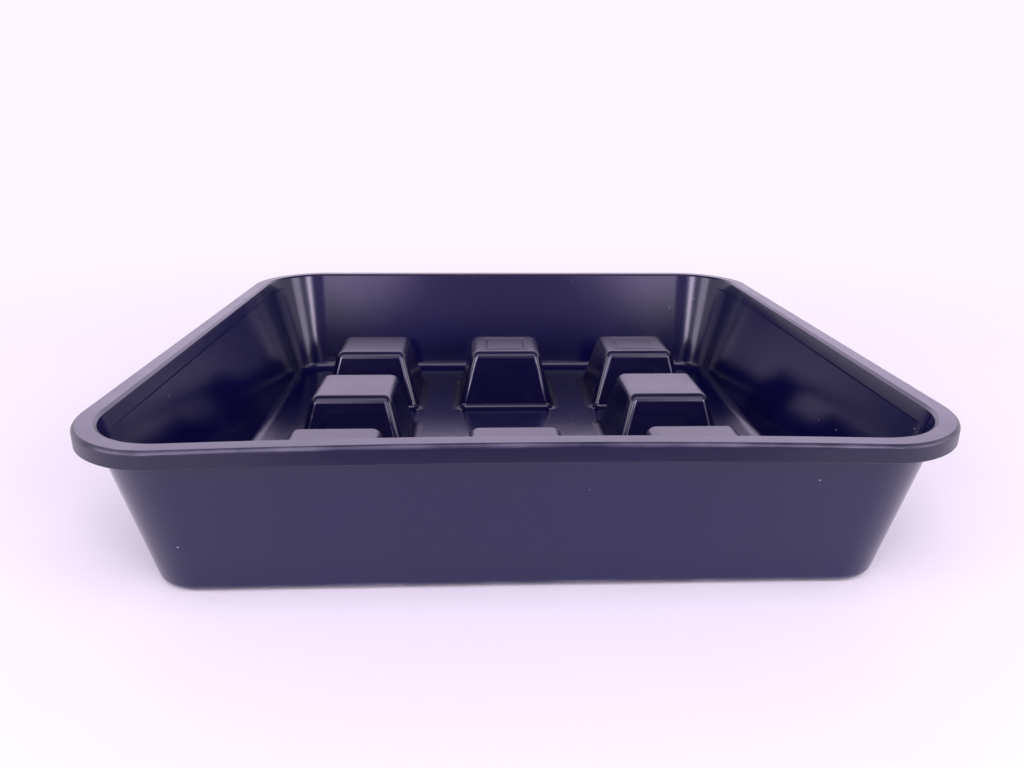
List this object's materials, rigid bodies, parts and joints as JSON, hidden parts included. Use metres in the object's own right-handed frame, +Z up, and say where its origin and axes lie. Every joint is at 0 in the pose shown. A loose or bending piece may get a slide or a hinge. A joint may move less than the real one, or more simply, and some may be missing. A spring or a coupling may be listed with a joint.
{
  "type": "square plant saucer",
  "caption": "Square plant saucer with rounded corners, a sloping wall, a turned-down rim and hollow block risers that hold a pot above drained water.",
  "frame": {"origin": "centre of the underside, on the surface that the saucer stands on", "axes": "+Z up, out of the saucer; X and Y along its sides, with -Y towards the front of the picture"},
  "size_m": [0.3, 0.3, 0.061],
  "materials": {
    "black_plastic": "semi-gloss black polypropylene with a faint violet cast, as moulded"
  },
  "bodies": {
    "root": {"floor_pan": "black_plastic", "side_wall": "black_plastic", "rim": "black_plastic", "riser_front_left": "black_plastic", "riser_front_middle": "black_plastic", "riser_front_right": "black_plastic", "riser_middle_left": "black_plastic", "riser_middle_right": "black_plastic", "riser_back_left": "black_plastic", "riser_back_middle": "black_plastic", "riser_back_right": "black_plastic"}
  },
  "joints": []
}
